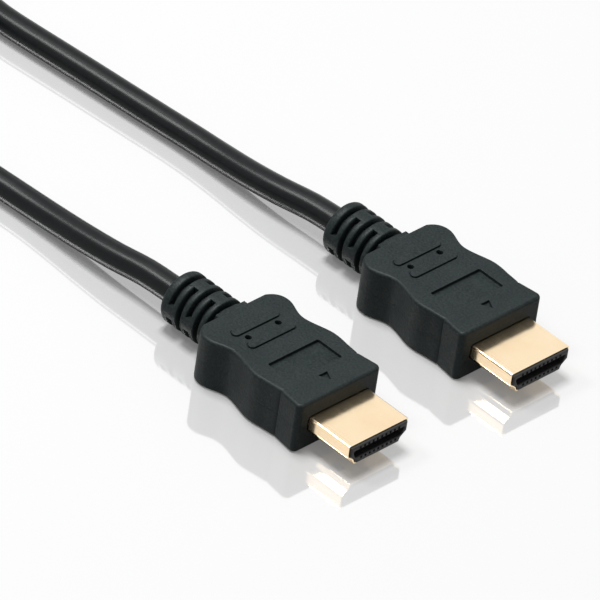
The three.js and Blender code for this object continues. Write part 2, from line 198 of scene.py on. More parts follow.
# Each cable end in millimetres, listed from its strain relief to the coil
CABLE_A_POINTS = [
    (-25.42, -18.25, 5.0),
    (-33.0, -18.4, 4.75),
    (-40.0, -19.0, 4.1),
    (-47.0, -19.25, 3.5),
    (-54.0, -19.3, 2.95),
    (-61.0, -19.4, 2.6),
    (-68.0, -19.75, 2.52),
    (-75.0, -20.25, 2.52),
    (-82.0, -21.1, 2.52),
    (-89.0, -22.7, 2.52),
    (-95.5, -24.8, 2.52),
    (-101.5, -27.25, 2.52),
    (-107.4, -30.15, 2.52),
    (-113.0, -33.4, 2.52),
    (-117.2, -36.2, 2.52),
]
CABLE_B_POINTS = [
    (-23.47, 18.25, 5.0),
    (-30.0, 17.95, 4.75),
    (-37.0, 17.15, 4.15),
    (-44.0, 16.8, 3.5),
    (-51.0, 16.75, 2.95),
    (-58.0, 16.6, 2.65),
    (-65.0, 16.15, 2.52),
    (-73.0, 15.5, 2.52),
    (-81.0, 14.9, 2.52),
    (-89.0, 14.25, 2.52),
    (-96.0, 13.65, 2.52),
    (-101.0, 13.3, 2.52),
    (-105.6, 13.35, 2.52),
    (-111.3, 14.3, 2.52),
    (-116.0, 15.85, 2.52),
    (-119.9, 17.6, 2.52),
]

# Camera, fitted to the photograph
CAMERA_AZIMUTH = math.radians(40.48)
CAMERA_ELEVATION = math.radians(36.95)
CAMERA_ROLL = math.radians(8.87)
CAMERA_DISTANCE = 1.753
CAMERA_TARGET = Vector((-0.0128, -0.00175, 0.0044))
FOCAL_PIXELS = 10379
FRAME_PIXELS = 600
SENSOR_WIDTH = 36

# Studio: half the floor's width, and each soft box's place, size and power
FLOOR_SIZE = 3.0
SOFT_BOXES = {
    "overhead_box": ((-0.2, -0.05, 1.15), (0.4, 0.4), 48),
    "left_box": ((-0.62, -0.42, 0.94), (0.3, 0.25), 9),
}

# Surface detail: scales in waves per metre, depths in metres
MOULD_CLOUD_SCALE = 220
MOULD_CLOUD_SHARE = 0.35
GRAIN_RANGE = (0.3, 0.7)
GRAIN_DEPTH = 0.00006
PLATING_CLOUD_SCALE = 150
PLATING_LINE_SCALE = 3500
PLATING_LINE_STRETCH = (0.06, 1, 1)
PLATING_DEPTH = 0.0004
WEAVE_SCALE = 520
WEAVE_DISTORTION = 0.6
WEAVE_DEPTH = 0.0001
STRAP_CLOUD_SCALE = 900


def smooth(x):
    """0 below 0, 1 above 1, and an even ramp between them."""
    x = min(max(x, 0.0), 1.0)
    return x * x * (3 - 2 * x)


def spline_through(points, step, after_last=None):
    """Points about step apart on the smooth curve through the given points."""
    ends = [points[0] * 2 - points[1], *points, after_last or points[-1] * 2 - points[-2]]
    line = []
    for before, start, end, after in zip(ends, ends[1:], ends[2:], ends[3:]):
        count = max(2, round((end - start).length / step))
        for i in range(count):
            t = i / count
            line.append(0.5 * (
                2 * start
                + (end - before) * t
                + (2 * before - 5 * start + 4 * end - after) * t * t
                + (3 * start - before - 3 * end + after) * t ** 3
            ))
    line.append(points[-1])
    return line


# Camera


def make_camera():
    back = Vector((
        math.sin(CAMERA_AZIMUTH) * math.cos(CAMERA_ELEVATION),
        -math.cos(CAMERA_AZIMUTH) * math.cos(CAMERA_ELEVATION),
        math.sin(CAMERA_ELEVATION),
    ))
    level_right = Vector((math.cos(CAMERA_AZIMUTH), math.sin(CAMERA_AZIMUTH), 0))
    level_up = back.cross(level_right)
    right = level_right * math.cos(CAMERA_ROLL) + level_up * math.sin(CAMERA_ROLL)
    up = back.cross(right)
    data = bpy.data.cameras.new("camera")
    data.sensor_width = SENSOR_WIDTH
    data.lens = SENSOR_WIDTH * FOCAL_PIXELS / FRAME_PIXELS
    data.clip_end = 20
    camera = bpy.data.objects.new("camera", data)
    camera.matrix_world = Matrix((
        (right.x, up.x, back.x, CAMERA_TARGET.x + back.x * CAMERA_DISTANCE),
        (right.y, up.y, back.y, CAMERA_TARGET.y + back.y * CAMERA_DISTANCE),
        (right.z, up.z, back.z, CAMERA_TARGET.z + back.z * CAMERA_DISTANCE),
        (0, 0, 0, 1),
    ))
    bpy.context.collection.objects.link(camera)
    bpy.context.scene.camera = camera


# Cable


def coil_turns():
    """The centreline of the wound turns, clockwise from above, from end A to end B.

    The lower layer steps inwards under the tie, climbs at the innermost turn, and the upper
    layer steps outwards again before the tie. End B comes down to the floor past the tie.
    """
    radii = TURN_RADII[::-1] + TURN_RADII[1:]
    zones = [STEP_IN] * 3 + [STEP_OUT] * 3
    climb_start, climb_end = [turned(*point) for point in CLIMB]
    drop_start, drop_end = [turned(*point) for point in DROP]
    last = turned(JOIN_B, WHOLE_TURNS)
    count = math.ceil(last / TURN_STEP)
    line = []
    for i in range(count + 1):
        angle = last * i / count
        radius = radii[0]
        for turn, (start, end) in enumerate(zones):
            part = smooth((angle - turned(start, turn)) / (start - end))
            radius += (radii[turn + 1] - radii[turn]) * part
        upper = smooth((angle - climb_start) / (climb_end - climb_start))
        upper -= smooth((angle - drop_start) / (drop_end - drop_start))
        place = JOIN_A - angle
        from_tie = abs((place - TIE_ANGLE + 180) % 360 - 180)
        held = 1 - smooth((from_tie - TIE_HOLDS) / TIE_EASES)
        height = LOWER_LAYER + (UPPER_LAYER - LOWER_LAYER) * upper
        height += held * (TIE_LIFT * (1 - upper) - TIE_SINK * upper)
        line.append(Vector((
            COIL_CENTRE.x + radius * math.cos(math.radians(place)),
            COIL_CENTRE.y + radius * math.sin(math.radians(place)),
            height,
        )))
    return line


def turned(place, turn):
    """How far the cable has gone round the coil when it passes an angle for the nth time."""
    past = (JOIN_A - place) % 360
    return past + 360 * turn


def cable_line():
    """The whole centreline, from inside the strain relief of plug A to inside that of plug B."""
    end_a = [Vector(p) * MM for p in CABLE_A_POINTS]
    end_b = [Vector(p) * MM for p in CABLE_B_POINTS]
    turns = coil_turns()
    inside = Vector((CABLE_INTO_BOOT, 0, 0))
    to_coil = spline_through(end_a + turns[:1], CABLE_STEP)
    from_coil = spline_through(end_b + turns[-1:], CABLE_STEP)
    return [to_coil[0] + inside] + to_coil[:-1] + turns + from_coil[-2::-1] + [from_coil[0] + inside]


def make_cable(material):
    line = cable_line()
    data = bpy.data.curves.new("cable", "CURVE")
    data.dimensions = "3D"
    data.bevel_depth = CABLE_DIAMETER / 2
    data.bevel_resolution = CABLE_SIDES // 4 - 1
    data.use_fill_caps = True
    spline = data.splines.new("POLY")
    spline.points.add(len(line) - 1)
    for point, place in zip(spline.points, line):
        point.co = (*place, 1)
    spline.use_smooth = True
    data.materials.append(material)
    cable = bpy.data.objects.new("cable", data)
    bpy.context.collection.objects.link(cable)
    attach(cable, "root")
    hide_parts("cable_end_a", "cable_end_b", "cable_coil")
    return cable


# Tie


def taut_outline(centres, radius):
    """The outline of a strap pulled tight round circles, as points in order."""
    around = []
    for centre in centres:
        for i in range(CIRCLE_POINTS):
            angle = 2 * math.pi * i / CIRCLE_POINTS
            around.append((centre[0] + radius * math.cos(angle), centre[1] + radius * math.sin(angle)))
    around.sort()
    halves = []
    for points in (around, around[::-1]):
        half = []
        for p in points:
            while len(half) > 1:
                (ax, ay), (bx, by) = half[-2:]
                if (bx - ax) * (p[1] - ay) - (by - ay) * (p[0] - ax) > 0:
                    break
                half.pop()
            half.append(p)
        halves += half[:-1]
    return halves


def strip(mesh, places, across, closed):
    """A strip of faces that follows the places, several of them side by side."""
    rows = [[mesh.verts.new(place + across * w) for w in STRAP_ACROSS] for place in places]
    following = rows[1:] + rows[:1] if closed else rows[1:]
    for row, after in zip(rows, following):
        for i in range(len(STRAP_ACROSS) - 1):
            mesh.faces.new((row[i], row[i + 1], after[i + 1], after[i]))


def make_tie(material):
    """A hook-and-loop strap pulled tight round the turns, its free end lapped on the far side."""
    angle = math.radians(TIE_ANGLE)
    outward = Vector((math.cos(angle), math.sin(angle), 0))
    across = Vector((-outward.y, outward.x, 0))
    middle = Vector((*COIL_CENTRE, 0))
    lower = [(a + b) / 2 for a, b in zip(TURN_RADII, TURN_RADII[1:])]
    turns = [(radius, LOWER_LAYER + TIE_LIFT) for radius in lower]
    turns += [(radius, UPPER_LAYER - TIE_SINK) for radius in TURN_RADII]
    outline = taut_outline(turns, CABLE_DIAMETER / 2 + TIE_THICKNESS / 2)
    far = max(radius for radius, _ in outline)
    lap = [(radius + LAP_LIFT, height) for radius, height in outline if radius > far - LAP_REACH]
    lap.sort(key=lambda p: p[1])
    mesh = bmesh.new()
    for line, width, closed in ((outline, TIE_WIDTH, True), (lap, LAP_WIDTH, False)):
        places = [middle + outward * radius + Vector((0, 0, height)) for radius, height in line]
        strip(mesh, places, across * width, closed)
    bmesh.ops.recalc_face_normals(mesh, faces=mesh.faces)
    tie = mesh_object("coil_strap", mesh, material)
    thick = tie.modifiers.new("thickness", "SOLIDIFY")
    thick.thickness = TIE_THICKNESS
    thick.offset = 0
    softened = tie.modifiers.new("rounded_edges", "BEVEL")
    softened.width = TIE_EDGE
    softened.segments = 2
    softened.limit_method = "ANGLE"
    softened.angle_limit = math.radians(60)
    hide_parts("coil_tie")
    return tie


def mesh_object(name, mesh, material):
    """A finished bmesh as a smooth-shaded object that rides on the part."""
    data = bpy.data.meshes.new(name)
    mesh.to_mesh(data)
    mesh.free()
    for polygon in data.polygons:
        polygon.use_smooth = True
    data.materials.append(material)
    made = bpy.data.objects.new(name, data)
    bpy.context.collection.objects.link(made)
    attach(made, "root")
    return made


# Solids for the plugs


def rounded(corners, steps=5):
    """A closed outline through corners given as x, y and radius, each rounded by an arc."""
    outline = []
    for (ax, ay, _), (bx, by, radius), (cx, cy, _) in zip(
        corners[-1:] + corners[:-1], corners, corners[1:] + corners[:1]
    ):
        corner = Vector((bx, by))
        into = (Vector((ax, ay)) - corner).normalized()
        out = (Vector((cx, cy)) - corner).normalized()
        if radius == 0:
            outline.append((bx, by))
            continue
        half = into.angle(out) / 2
        start = corner + into * radius / math.tan(half)
        end = corner + out * radius / math.tan(half)
        centre = corner + (into + out).normalized() * radius / math.sin(half)
        for i in range(steps + 1):
            way = (start - centre).slerp(end - centre, i / steps).normalized()
            outline.append(tuple(centre + way * radius))
    return outline


def inset(outline, distance):
    """A closed anticlockwise outline moved inwards."""
    moved = []
    for before, here, after in zip(outline[-1:] + outline[:-1], outline, outline[1:] + outline[:1]):
        first = (Vector(here) - Vector(before)).normalized()
        second = (Vector(after) - Vector(here)).normalized()
        inward = Vector((-first.y - second.y, first.x + second.x)).normalized()
        stretch = max(0.4, inward.dot(Vector((-first.y, first.x))))
        moved.append(tuple(Vector(here) + inward * distance / stretch))
    return moved


def lofted(rings, closed=False):
    """A mesh skinned over rings of points, capped at both ends, or closed on itself."""
    mesh = bmesh.new()
    rows = [[mesh.verts.new(p) for p in ring] for ring in rings]
    following = rows[1:] + rows[:1] if closed else rows[1:]
    for row, after in zip(rows, following):
        for a, b, c, d in zip(row, row[1:] + row[:1], after[1:] + after[:1], after):
            mesh.faces.new((a, b, c, d))
    if not closed:
        mesh.faces.new(rows[0][::-1])
        mesh.faces.new(rows[-1])
    bmesh.ops.recalc_face_normals(mesh, faces=mesh.faces)
    return mesh


def raised(outline, levels):
    """A plan outline lofted through levels given as inset and z."""
    return lofted([[(x, y, z) for x, y in inset(outline, distance)] for distance, z in levels])


def drawn(section, levels):
    """A section in y and z, a function of its inset, lofted along the plug by inset and x."""
    return lofted([[(x, y, z) for y, z in section(distance)] for distance, x in levels])


def turned_about_axis(profile, steps=72, start=0.0, end=360.0):
    """A closed profile of radius and x turned about the long axis, all round or over an arc."""
    whole = end - start == 360
    count = steps if whole else steps + 1
    rings = []
    for i in range(count):
        angle = math.radians(start + (end - start) * i / steps)
        rings.append([
            (x, radius * math.cos(angle), BOOT_AXIS_HEIGHT + radius * math.sin(angle))
            for radius, x in profile
        ])
    return lofted(rings, closed=whole)


def combined(base, cuts=(), joins=()):
    """The base mesh with the cuts taken out of it after the joins are added."""
    def helper(mesh):
        data = bpy.data.meshes.new("helper")
        mesh.to_mesh(data)
        mesh.free()
        made = bpy.data.objects.new("helper", data)
        bpy.context.collection.objects.link(made)
        return made

    target = helper(base)
    helpers = [target]
    for operation, tools in (("UNION", joins), ("DIFFERENCE", cuts)):
        for tool in tools:
            modifier = target.modifiers.new("shape", "BOOLEAN")
            modifier.operation = operation
            modifier.solver = "EXACT"
            modifier.object = helper(tool)
            helpers.append(modifier.object)
    graph = bpy.context.evaluated_depsgraph_get()
    shaped = bmesh.new()
    shaped.from_object(target, graph)
    for made in helpers:
        data = made.data
        bpy.data.objects.remove(made)
        bpy.data.meshes.remove(data)
    bmesh.ops.remove_doubles(shaped, verts=shaped.verts, dist=0.002)
    bmesh.ops.dissolve_degenerate(shaped, dist=0.001, edges=shaped.edges)
    return shaped


def quarter(steps):
    """Angles over a quarter turn, in radians."""
    return [math.radians(90 * i / steps) for i in range(steps + 1)]


def fillet(edge, top):
    """Levels of a slab from z = 0 to top, its edges rounded, with a fine parting line half way."""
    lower = []
    for angle in quarter(5):
        lower.append((edge * (1 - math.sin(angle)), edge * (1 - math.cos(angle))))
    upper = [(distance, top - z) for distance, z in reversed(lower)]
    parting = [(0, top / 2 - PARTING_HALF), (PARTING_DEPTH, top / 2), (0, top / 2 + PARTING_HALF)]
    return lower + parting + upper


def body_outline():
    side = []
    for angle in quarter(5):
        side.append((
            -FRONT_CORNER + FRONT_CORNER * math.cos(angle),
            FRONT_HALF - FRONT_CORNER + FRONT_CORNER * math.sin(angle),
        ))
    side.append((CREASE_X + CREASE_RUN, CREASE_HALF + CREASE_LIP))
    side.append((CREASE_X, CREASE_HALF - CREASE_DEPTH))
    wave = [Vector(p) for p in SIDE_WAVE]
    bulge = wave[-1]
    level = Vector((2 * bulge.x - wave[-2].x, wave[-2].y))
    side += [tuple(p) for p in spline_through(wave, SIDE_STEP, level)]
    for i in range(1, REAR_STEPS + 1):
        t = i / REAR_STEPS
        side.append((
            (1 - t) ** 2 * bulge.x - 2 * t * (1 - t) * REAR_PULL - t * t * BODY_LONG,
            (1 - t) ** 2 * bulge.y + 2 * t * (1 - t) * bulge.y + t * t * REAR_HALF,
        ))
    return side + [(x, -y) for x, y in reversed(side)]


def pad_outline(x, wider=0.0):
    half = PAD_WIDE / 2 + wider
    long = PAD_HALF + wider
    corner = half * PAD_ROUND
    return rounded([
        (x + half, -long, corner),
        (x + half, long, corner),
        (x - half, long, corner),
        (x - half, -long, corner),
    ], steps=8)


def pad(x):
    top = BODY_THICK + PAD_HIGH
    return raised(pad_outline(x), [
        (0, BODY_THICK - PAD_SUNK),
        (0, top - PAD_EDGE),
        (PAD_EDGE * EDGE_MIDDLE, top - PAD_EDGE * EDGE_MIDDLE),
        (PAD_EDGE, top),
    ])


def sunk(outline, depth, rim):
    """A cutter for a recess in the top face, its floor edge and its rim softened."""
    top = BODY_THICK
    return raised(outline, [
        (SUNK_FLOOR_EDGE, top - depth),
        (0, top - depth + SUNK_FLOOR_EDGE),
        (0, top - rim),
        (-EDGE_MIDDLE * rim, top - EDGE_MIDDLE * rim),
        (-rim, top),
        (-rim, top + CUT_ABOVE),
    ])


def boot():
    """The strain relief before its slots are cut: a thick tube that lies over the cable."""
    rear = -BODY_LONG - BOOT_LONG
    profile = [(BOOT_BORE, rear + BOOT_MOUTH_DEEP), (BOOT_BORE + BOOT_MOUTH_WIDER, rear)]
    for angle in quarter(6):
        profile.append((
            BOOT_RADIUS - BOOT_ROUND * (1 - math.sin(angle)),
            rear + BOOT_ROUND * (1 - math.cos(angle)),
        ))
    profile += [(radius, -BODY_LONG + BOOT_INTO_BODY) for radius in (BOOT_RADIUS, BOOT_BORE)]
    return turned_about_axis(profile)


def slot_cutters():
    """The grooves round the strain relief, each in two arcs with a bridge between them.

    The bridges stand at the sides in one groove and at the top and bottom in the next.
    """
    half = SLOT_WIDE / 2
    outside = BOOT_RADIUS + CUT_ABOVE
    cutters = []
    for i, x in enumerate(SLOT_X):
        profile = [(BOOT_CORE, x - half)]
        for level in SLOT_RIM_LEVELS:
            back = SLOT_RIM * (1 - level) ** SLOT_RIM_CURVE
            profile.append((BOOT_RADIUS - SLOT_RIM * level, x - half - back))
        profile.append((outside, x - half - SLOT_RIM))
        profile += [(radius, 2 * x - there) for radius, there in reversed(profile)]
        first = 0 if i % 2 == 0 else 90
        for middle in (first + 90, first + 270):
            cutters.append(turned_about_axis(
                profile, SLOT_STEPS, middle - 90 + BRIDGE_ANGLE, middle + 90 - BRIDGE_ANGLE,
            ))
    return cutters


def neck():
    """The small step behind the body, on top of the strain relief."""
    outline = rounded([
        (-BODY_LONG + CUT_BEYOND, -NECK_HALF, 0),
        (-BODY_LONG + CUT_BEYOND, NECK_HALF, 0),
        (NECK_X, NECK_HALF, NECK_CORNER),
        (NECK_X, -NECK_HALF, NECK_CORNER),
    ])
    return raised(outline, [(0, NECK_BOTTOM), (0, NECK_TOP - NECK_EDGE), (NECK_EDGE, NECK_TOP)])


def above_neck():
    """A cutter that takes the strain relief's round top off down to the step."""
    outline = rounded([
        (-BODY_LONG - NECK_OFF_BODY, -BOOT_RADIUS, 0),
        (-BODY_LONG - NECK_OFF_BODY, BOOT_RADIUS, 0),
        (NECK_X, BOOT_RADIUS, 0),
        (NECK_X, -BOOT_RADIUS, 0),
    ])
    return raised(outline, [(0, NECK_TOP), (0, BODY_THICK + CUT_BEYOND)])


def shell_section(smaller):
    """The connector's standard section in y and z, wide at the top, moved inwards."""
    other_side = [(-y, z, radius) for y, z, radius in SHELL_SIDE]
    corners = SHELL_SIDE[:1] + other_side + SHELL_SIDE[:0:-1]
    moved = inset([(y, z) for y, z, _ in corners], smaller)
    radii = [max(radius - smaller, SHELL_TIGHTEST) for _, _, radius in corners]
    return rounded([(*p, radius) for p, radius in zip(moved, radii)])


def make_body(letter, material):
    """The moulded body with its recesses, its pads and the ribbed strain relief, all one piece."""
    circle = [
        (HOLE_RADIUS * math.cos(math.radians(a)), HOLE_RADIUS * math.sin(math.radians(a)))
        for a in range(0, 360, 15)
    ]
    panel = rounded([
        (PANEL_X[1], -PANEL_HALF, PANEL_CORNER),
        (PANEL_X[1], PANEL_HALF, PANEL_CORNER),
        (PANEL_X[0], PANEL_HALF, PANEL_CORNER),
        (PANEL_X[0], -PANEL_HALF, PANEL_CORNER),
    ])
    arrow = rounded([(*p, ARROW_RIM) for p in ARROW], steps=3)
    pocket = drawn(shell_section, [
        (-POCKET_GAP, -SHELL_BURIED - 2 * POCKET_GAP),
        (-POCKET_GAP, -POCKET_LIP),
        (-POCKET_MOUTH, 0),
        (-POCKET_MOUTH, 2 * CUT_BEYOND),
    ])
    cuts = slot_cutters()
    for side in (-1, 1):
        hole = [(HOLE_X + x, side * HOLE_Y + y) for x, y in circle]
        cuts.append(sunk(hole, HOLE_DEEP, HOLE_RIM))
    cuts += [sunk(panel, PANEL_DEEP, PANEL_RIM), sunk(arrow, ARROW_DEEP, ARROW_RIM)]
    cuts += [sunk(pad_outline(x, PAD_MOAT), PAD_MOAT, MOAT_RIM) for x in PAD_X]
    cuts += [above_neck(), pocket]
    shaped = combined(
        raised(body_outline(), fillet(BODY_EDGE, BODY_THICK)),
        cuts=cuts,
        joins=[boot(), neck()],
    )
    shaped = combined(shaped, joins=[pad(x) for x in PAD_X])
    plug_piece("body", letter, shaped, material, "overmould")


def plug_piece(name, letter, shaped, material, node):
    """A mesh in a plug's own millimetres, put where that plug lies, with crisp moulded shading."""
    place = Matrix.Translation((PLUG_FRONT_X[letter], PLUG_AXIS_Y[letter], 0))
    bmesh.ops.transform(shaped, matrix=place @ Matrix.Scale(MM, 4), verts=shaped.verts)
    piece = mesh_object(f"plug_{letter}_{name}_piece", shaped, material)
    piece.data.set_sharp_from_angle(angle=math.radians(SHARP_ANGLE[name]))
    shading = piece.modifiers.new("even_shading", "WEIGHTED_NORMAL")
    shading.weight = 80
    shading.keep_sharp = True
    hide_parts(f"plug_{letter}_{node}")


def make_shell(letter, material):
    """The plated shell: a drawn tube with a folded front edge, two latch windows and a seam."""
    rim = SHELL_RIM
    turn = rim * EDGE_MIDDLE
    wall = SHELL_WALL
    tube = drawn(shell_section, [
        (0, -SHELL_BURIED),
        (0, SHELL_LONG - rim),
        (turn, SHELL_LONG - turn),
        (rim, SHELL_LONG),
    ])
    bore = drawn(shell_section, [
        (wall, -SHELL_BURIED - CUT_BEYOND),
        (wall, SHELL_LONG - rim),
        (wall - turn, SHELL_LONG - turn),
        (wall - rim, SHELL_LONG),
        (wall - rim, SHELL_LONG + CUT_BEYOND),
    ])
    middle = SHELL_LONG / 2
    seam_long = SHELL_LONG + 2 * SEAM_BEYOND
    seam_z = SHELL_TOP - SEAM_BELOW_TOP
    cuts = [bore]
    for side in (-1, 1):
        cuts.append(block(
            WINDOW_X, side * WINDOW_Y, SHELL_BOTTOM, WINDOW, WINDOW, 3 * SHELL_WALL, WINDOW_CORNER,
        ))
        cuts.append(block(middle, side * SHELL_HALF, seam_z, seam_long, *SIDE_SEAM, 0))
    cuts.append(block(middle, 0, SHELL_BOTTOM, seam_long, *UNDER_SEAM, 0))
    plug_piece("shell", letter, combined(tube, cuts=cuts), material, "shell")


def block(x, y, z, length, width, height, corner):
    """A box with its middle at x, y, z and its upright edges rounded."""
    outline = rounded([
        (x + length / 2, y - width / 2, corner),
        (x + length / 2, y + width / 2, corner),
        (x - length / 2, y + width / 2, corner),
        (x - length / 2, y - width / 2, corner),
    ])
    return raised(outline, [(0, z - height / 2), (0, z + height / 2)])


def make_insert(letter, material):
    """The black insert: a bordered front with the tongue's slot and a hole over each contact."""
    border = INSERT_BORDER
    turn = border * EDGE_MIDDLE
    inside = SHELL_WALL + INSERT_GAP
    solid = drawn(shell_section, [
        (inside, INSERT_REAR),
        (inside, INSERT_FRONT - border),
        (inside + turn, INSERT_FRONT - turn),
        (inside + border, INSERT_FRONT),
    ])
    top = TONGUE_Z + TONGUE_HIGH / 2
    bottom = TONGUE_Z - TONGUE_HIGH / 2
    mouth = rounded([
        (TONGUE_HALF, top, TONGUE_TOP_CORNER),
        (-TONGUE_HALF, top, TONGUE_TOP_CORNER),
        (-TONGUE_LOW_HALF, bottom, TONGUE_LOW_CORNER),
        (TONGUE_LOW_HALF, bottom, TONGUE_LOW_CORNER),
    ])
    rear = INSERT_FRONT - TONGUE_DEEP
    cuts = [drawn(lambda smaller: inset(mouth, smaller), [
        (0, rear),
        (0, INSERT_FRONT - MOUTH_EDGE),
        (-MOUTH_EDGE, INSERT_FRONT),
        (-MOUTH_EDGE, INSERT_FRONT + CUT_BEYOND),
    ])]
    for row, count in CONTACT_ROWS.items():
        up = 1 if row == "upper" else -1
        z = TONGUE_Z + up * (TONGUE_HIGH / 2 + CONTACT_RIB + CONTACT_HOLE / 2)
        behind = TONGUE_Z + up * (TONGUE_HIGH / 2 + CONTACT_RIB / 2)
        for i in range(count):
            y = (i - (count - 1) / 2) * CONTACT_PITCH
            long = TONGUE_DEEP + CUT_BEYOND
            x = INSERT_FRONT + CUT_BEYOND - long / 2
            cuts.append(block(x, y, z, long, CONTACT_HOLE, CONTACT_HOLE, 0))
            x = rear + CONTACT_OPEN / 2
            cuts.append(block(x, y, behind, CONTACT_OPEN, CONTACT_HOLE, CONTACT_RIB + RIB_OVERLAP, 0))
    plug_piece("insert", letter, combined(solid, cuts=cuts), material, "insert")


# Materials


def shared_effect(name, inputs, outputs):
    """An empty node group with the named inputs and outputs, and its two end nodes."""
    group = bpy.data.node_groups.new(name, "ShaderNodeTree")
    for label, value in inputs.items():
        kind = "NodeSocketColor" if isinstance(value, tuple) else "NodeSocketFloat"
        socket = group.interface.new_socket(label, in_out="INPUT", socket_type=kind)
        socket.default_value = (*value, 1) if isinstance(value, tuple) else value
    for label, kind in outputs.items():
        group.interface.new_socket(label, in_out="OUTPUT", socket_type=f"NodeSocket{kind}")
    return group, group.nodes.new("NodeGroupInput"), group.nodes.new("NodeGroupOutput")


def noise(tree, place, scale, detail=2.0):
    """A noise texture in object space. Scale is a number in waves per metre or a socket."""
    node = tree.nodes.new("ShaderNodeTexNoise")
    node.inputs["Detail"].default_value = detail
    tree.links.new(place, node.inputs["Vector"])
    if isinstance(scale, (int, float)):
        node.inputs["Scale"].default_value = scale
    else:
        tree.links.new(scale, node.inputs["Scale"])
    return node.outputs["Fac"]


def between(tree, factor, low, high):
    """The factor spread over low to high, which may be numbers or sockets."""
    node = tree.nodes.new("ShaderNodeMapRange")
    tree.links.new(factor, node.inputs["Value"])
    for label, value in (("To Min", low), ("To Max", high)):
        if isinstance(value, (int, float)):
            node.inputs[label].default_value = value
        else:
            tree.links.new(value, node.inputs[label])
    return node.outputs["Result"]


def blended(tree, factor, first, second):
    node = tree.nodes.new("ShaderNodeMix")
    node.data_type = "RGBA"
    tree.links.new(factor, node.inputs["Factor"])
    tree.links.new(first, node.inputs["A"])
    tree.links.new(second, node.inputs["B"])
    return node.outputs["Result"]


def bumped(tree, height, strength, distance):
    node = tree.nodes.new("ShaderNodeBump")
    node.inputs["Distance"].default_value = distance
    tree.links.new(height, node.inputs["Height"])
    if isinstance(strength, (int, float)):
        node.inputs["Strength"].default_value = strength
    else:
        tree.links.new(strength, node.inputs["Strength"])
    return node.outputs["Normal"]


def moulded_surface():
    """The grain and faint cloudiness of moulded or extruded plastic."""
    group, given, out = shared_effect(
        "moulded_surface",
        {"Dark": (0.01, 0.01, 0.01), "Light": (0.03, 0.03, 0.03), "Grain Scale": 2500.0,
         "Grain Strength": 0.3, "Smoothest": 0.4, "Roughest": 0.6},
        {"Color": "Color", "Roughness": "Float", "Normal": "Vector"},
    )
    place = group.nodes.new("ShaderNodeTexCoord").outputs["Object"]
    grain = noise(group, place, given.outputs["Grain Scale"], 3)
    cloud = noise(group, place, MOULD_CLOUD_SCALE, 3)
    add = group.nodes.new("ShaderNodeMath")
    add.operation = "MULTIPLY_ADD"
    add.inputs[1].default_value = MOULD_CLOUD_SHARE
    group.links.new(cloud, add.inputs[0])
    fine = group.nodes.new("ShaderNodeMapRange")
    fine.inputs["From Min"].default_value, fine.inputs["From Max"].default_value = GRAIN_RANGE
    fine.inputs["To Max"].default_value = 1 - MOULD_CLOUD_SHARE
    group.links.new(grain, fine.inputs["Value"])
    group.links.new(fine.outputs["Result"], add.inputs[2])
    group.links.new(
        blended(group, add.outputs[0], given.outputs["Dark"], given.outputs["Light"]),
        out.inputs["Color"],
    )
    group.links.new(
        between(group, cloud, given.outputs["Smoothest"], given.outputs["Roughest"]),
        out.inputs["Roughness"],
    )
    group.links.new(
        bumped(group, grain, given.outputs["Grain Strength"], GRAIN_DEPTH),
        out.inputs["Normal"],
    )
    return group


def plated_surface():
    """The slight waviness, cloudiness and fine drawn lines of plating on thin sheet."""
    group, given, out = shared_effect(
        "plated_surface",
        {"Deep": (0.8, 0.6, 0.3), "Pale": (0.95, 0.85, 0.65), "Waviness": 0.2,
         "Smoothest": 0.12, "Roughest": 0.3},
        {"Color": "Color", "Roughness": "Float", "Normal": "Vector"},
    )
    place = group.nodes.new("ShaderNodeTexCoord").outputs["Object"]
    drawn_out = group.nodes.new("ShaderNodeMapping")
    drawn_out.inputs["Scale"].default_value = PLATING_LINE_STRETCH
    group.links.new(place, drawn_out.inputs["Vector"])
    lines = noise(group, drawn_out.outputs["Vector"], PLATING_LINE_SCALE, 2)
    cloud = noise(group, place, PLATING_CLOUD_SCALE, 2)
    group.links.new(
        blended(group, cloud, given.outputs["Deep"], given.outputs["Pale"]),
        out.inputs["Color"],
    )
    group.links.new(
        between(group, lines, given.outputs["Smoothest"], given.outputs["Roughest"]),
        out.inputs["Roughness"],
    )
    group.links.new(
        bumped(group, cloud, given.outputs["Waviness"], PLATING_DEPTH),
        out.inputs["Normal"],
    )
    return group


def finish_with(name, effect, gloss=0.5, metallic=0, **values):
    """A material whose shader takes colour, roughness and normal from a shared effect."""
    material = bpy.data.materials.new(name)
    material.use_nodes = True
    tree = material.node_tree
    node = tree.nodes.new("ShaderNodeGroup")
    node.node_tree = effect
    for label, value in values.items():
        socket = node.inputs[label.replace("_", " ")]
        socket.default_value = (*value, 1) if isinstance(value, tuple) else value
    shader = tree.nodes["Principled BSDF"]
    tree.links.new(node.outputs["Color"], shader.inputs["Base Color"])
    tree.links.new(node.outputs["Roughness"], shader.inputs["Roughness"])
    tree.links.new(node.outputs["Normal"], shader.inputs["Normal"])
    shader.inputs["Specular IOR Level"].default_value = gloss
    shader.inputs["Metallic"].default_value = metallic
    return material


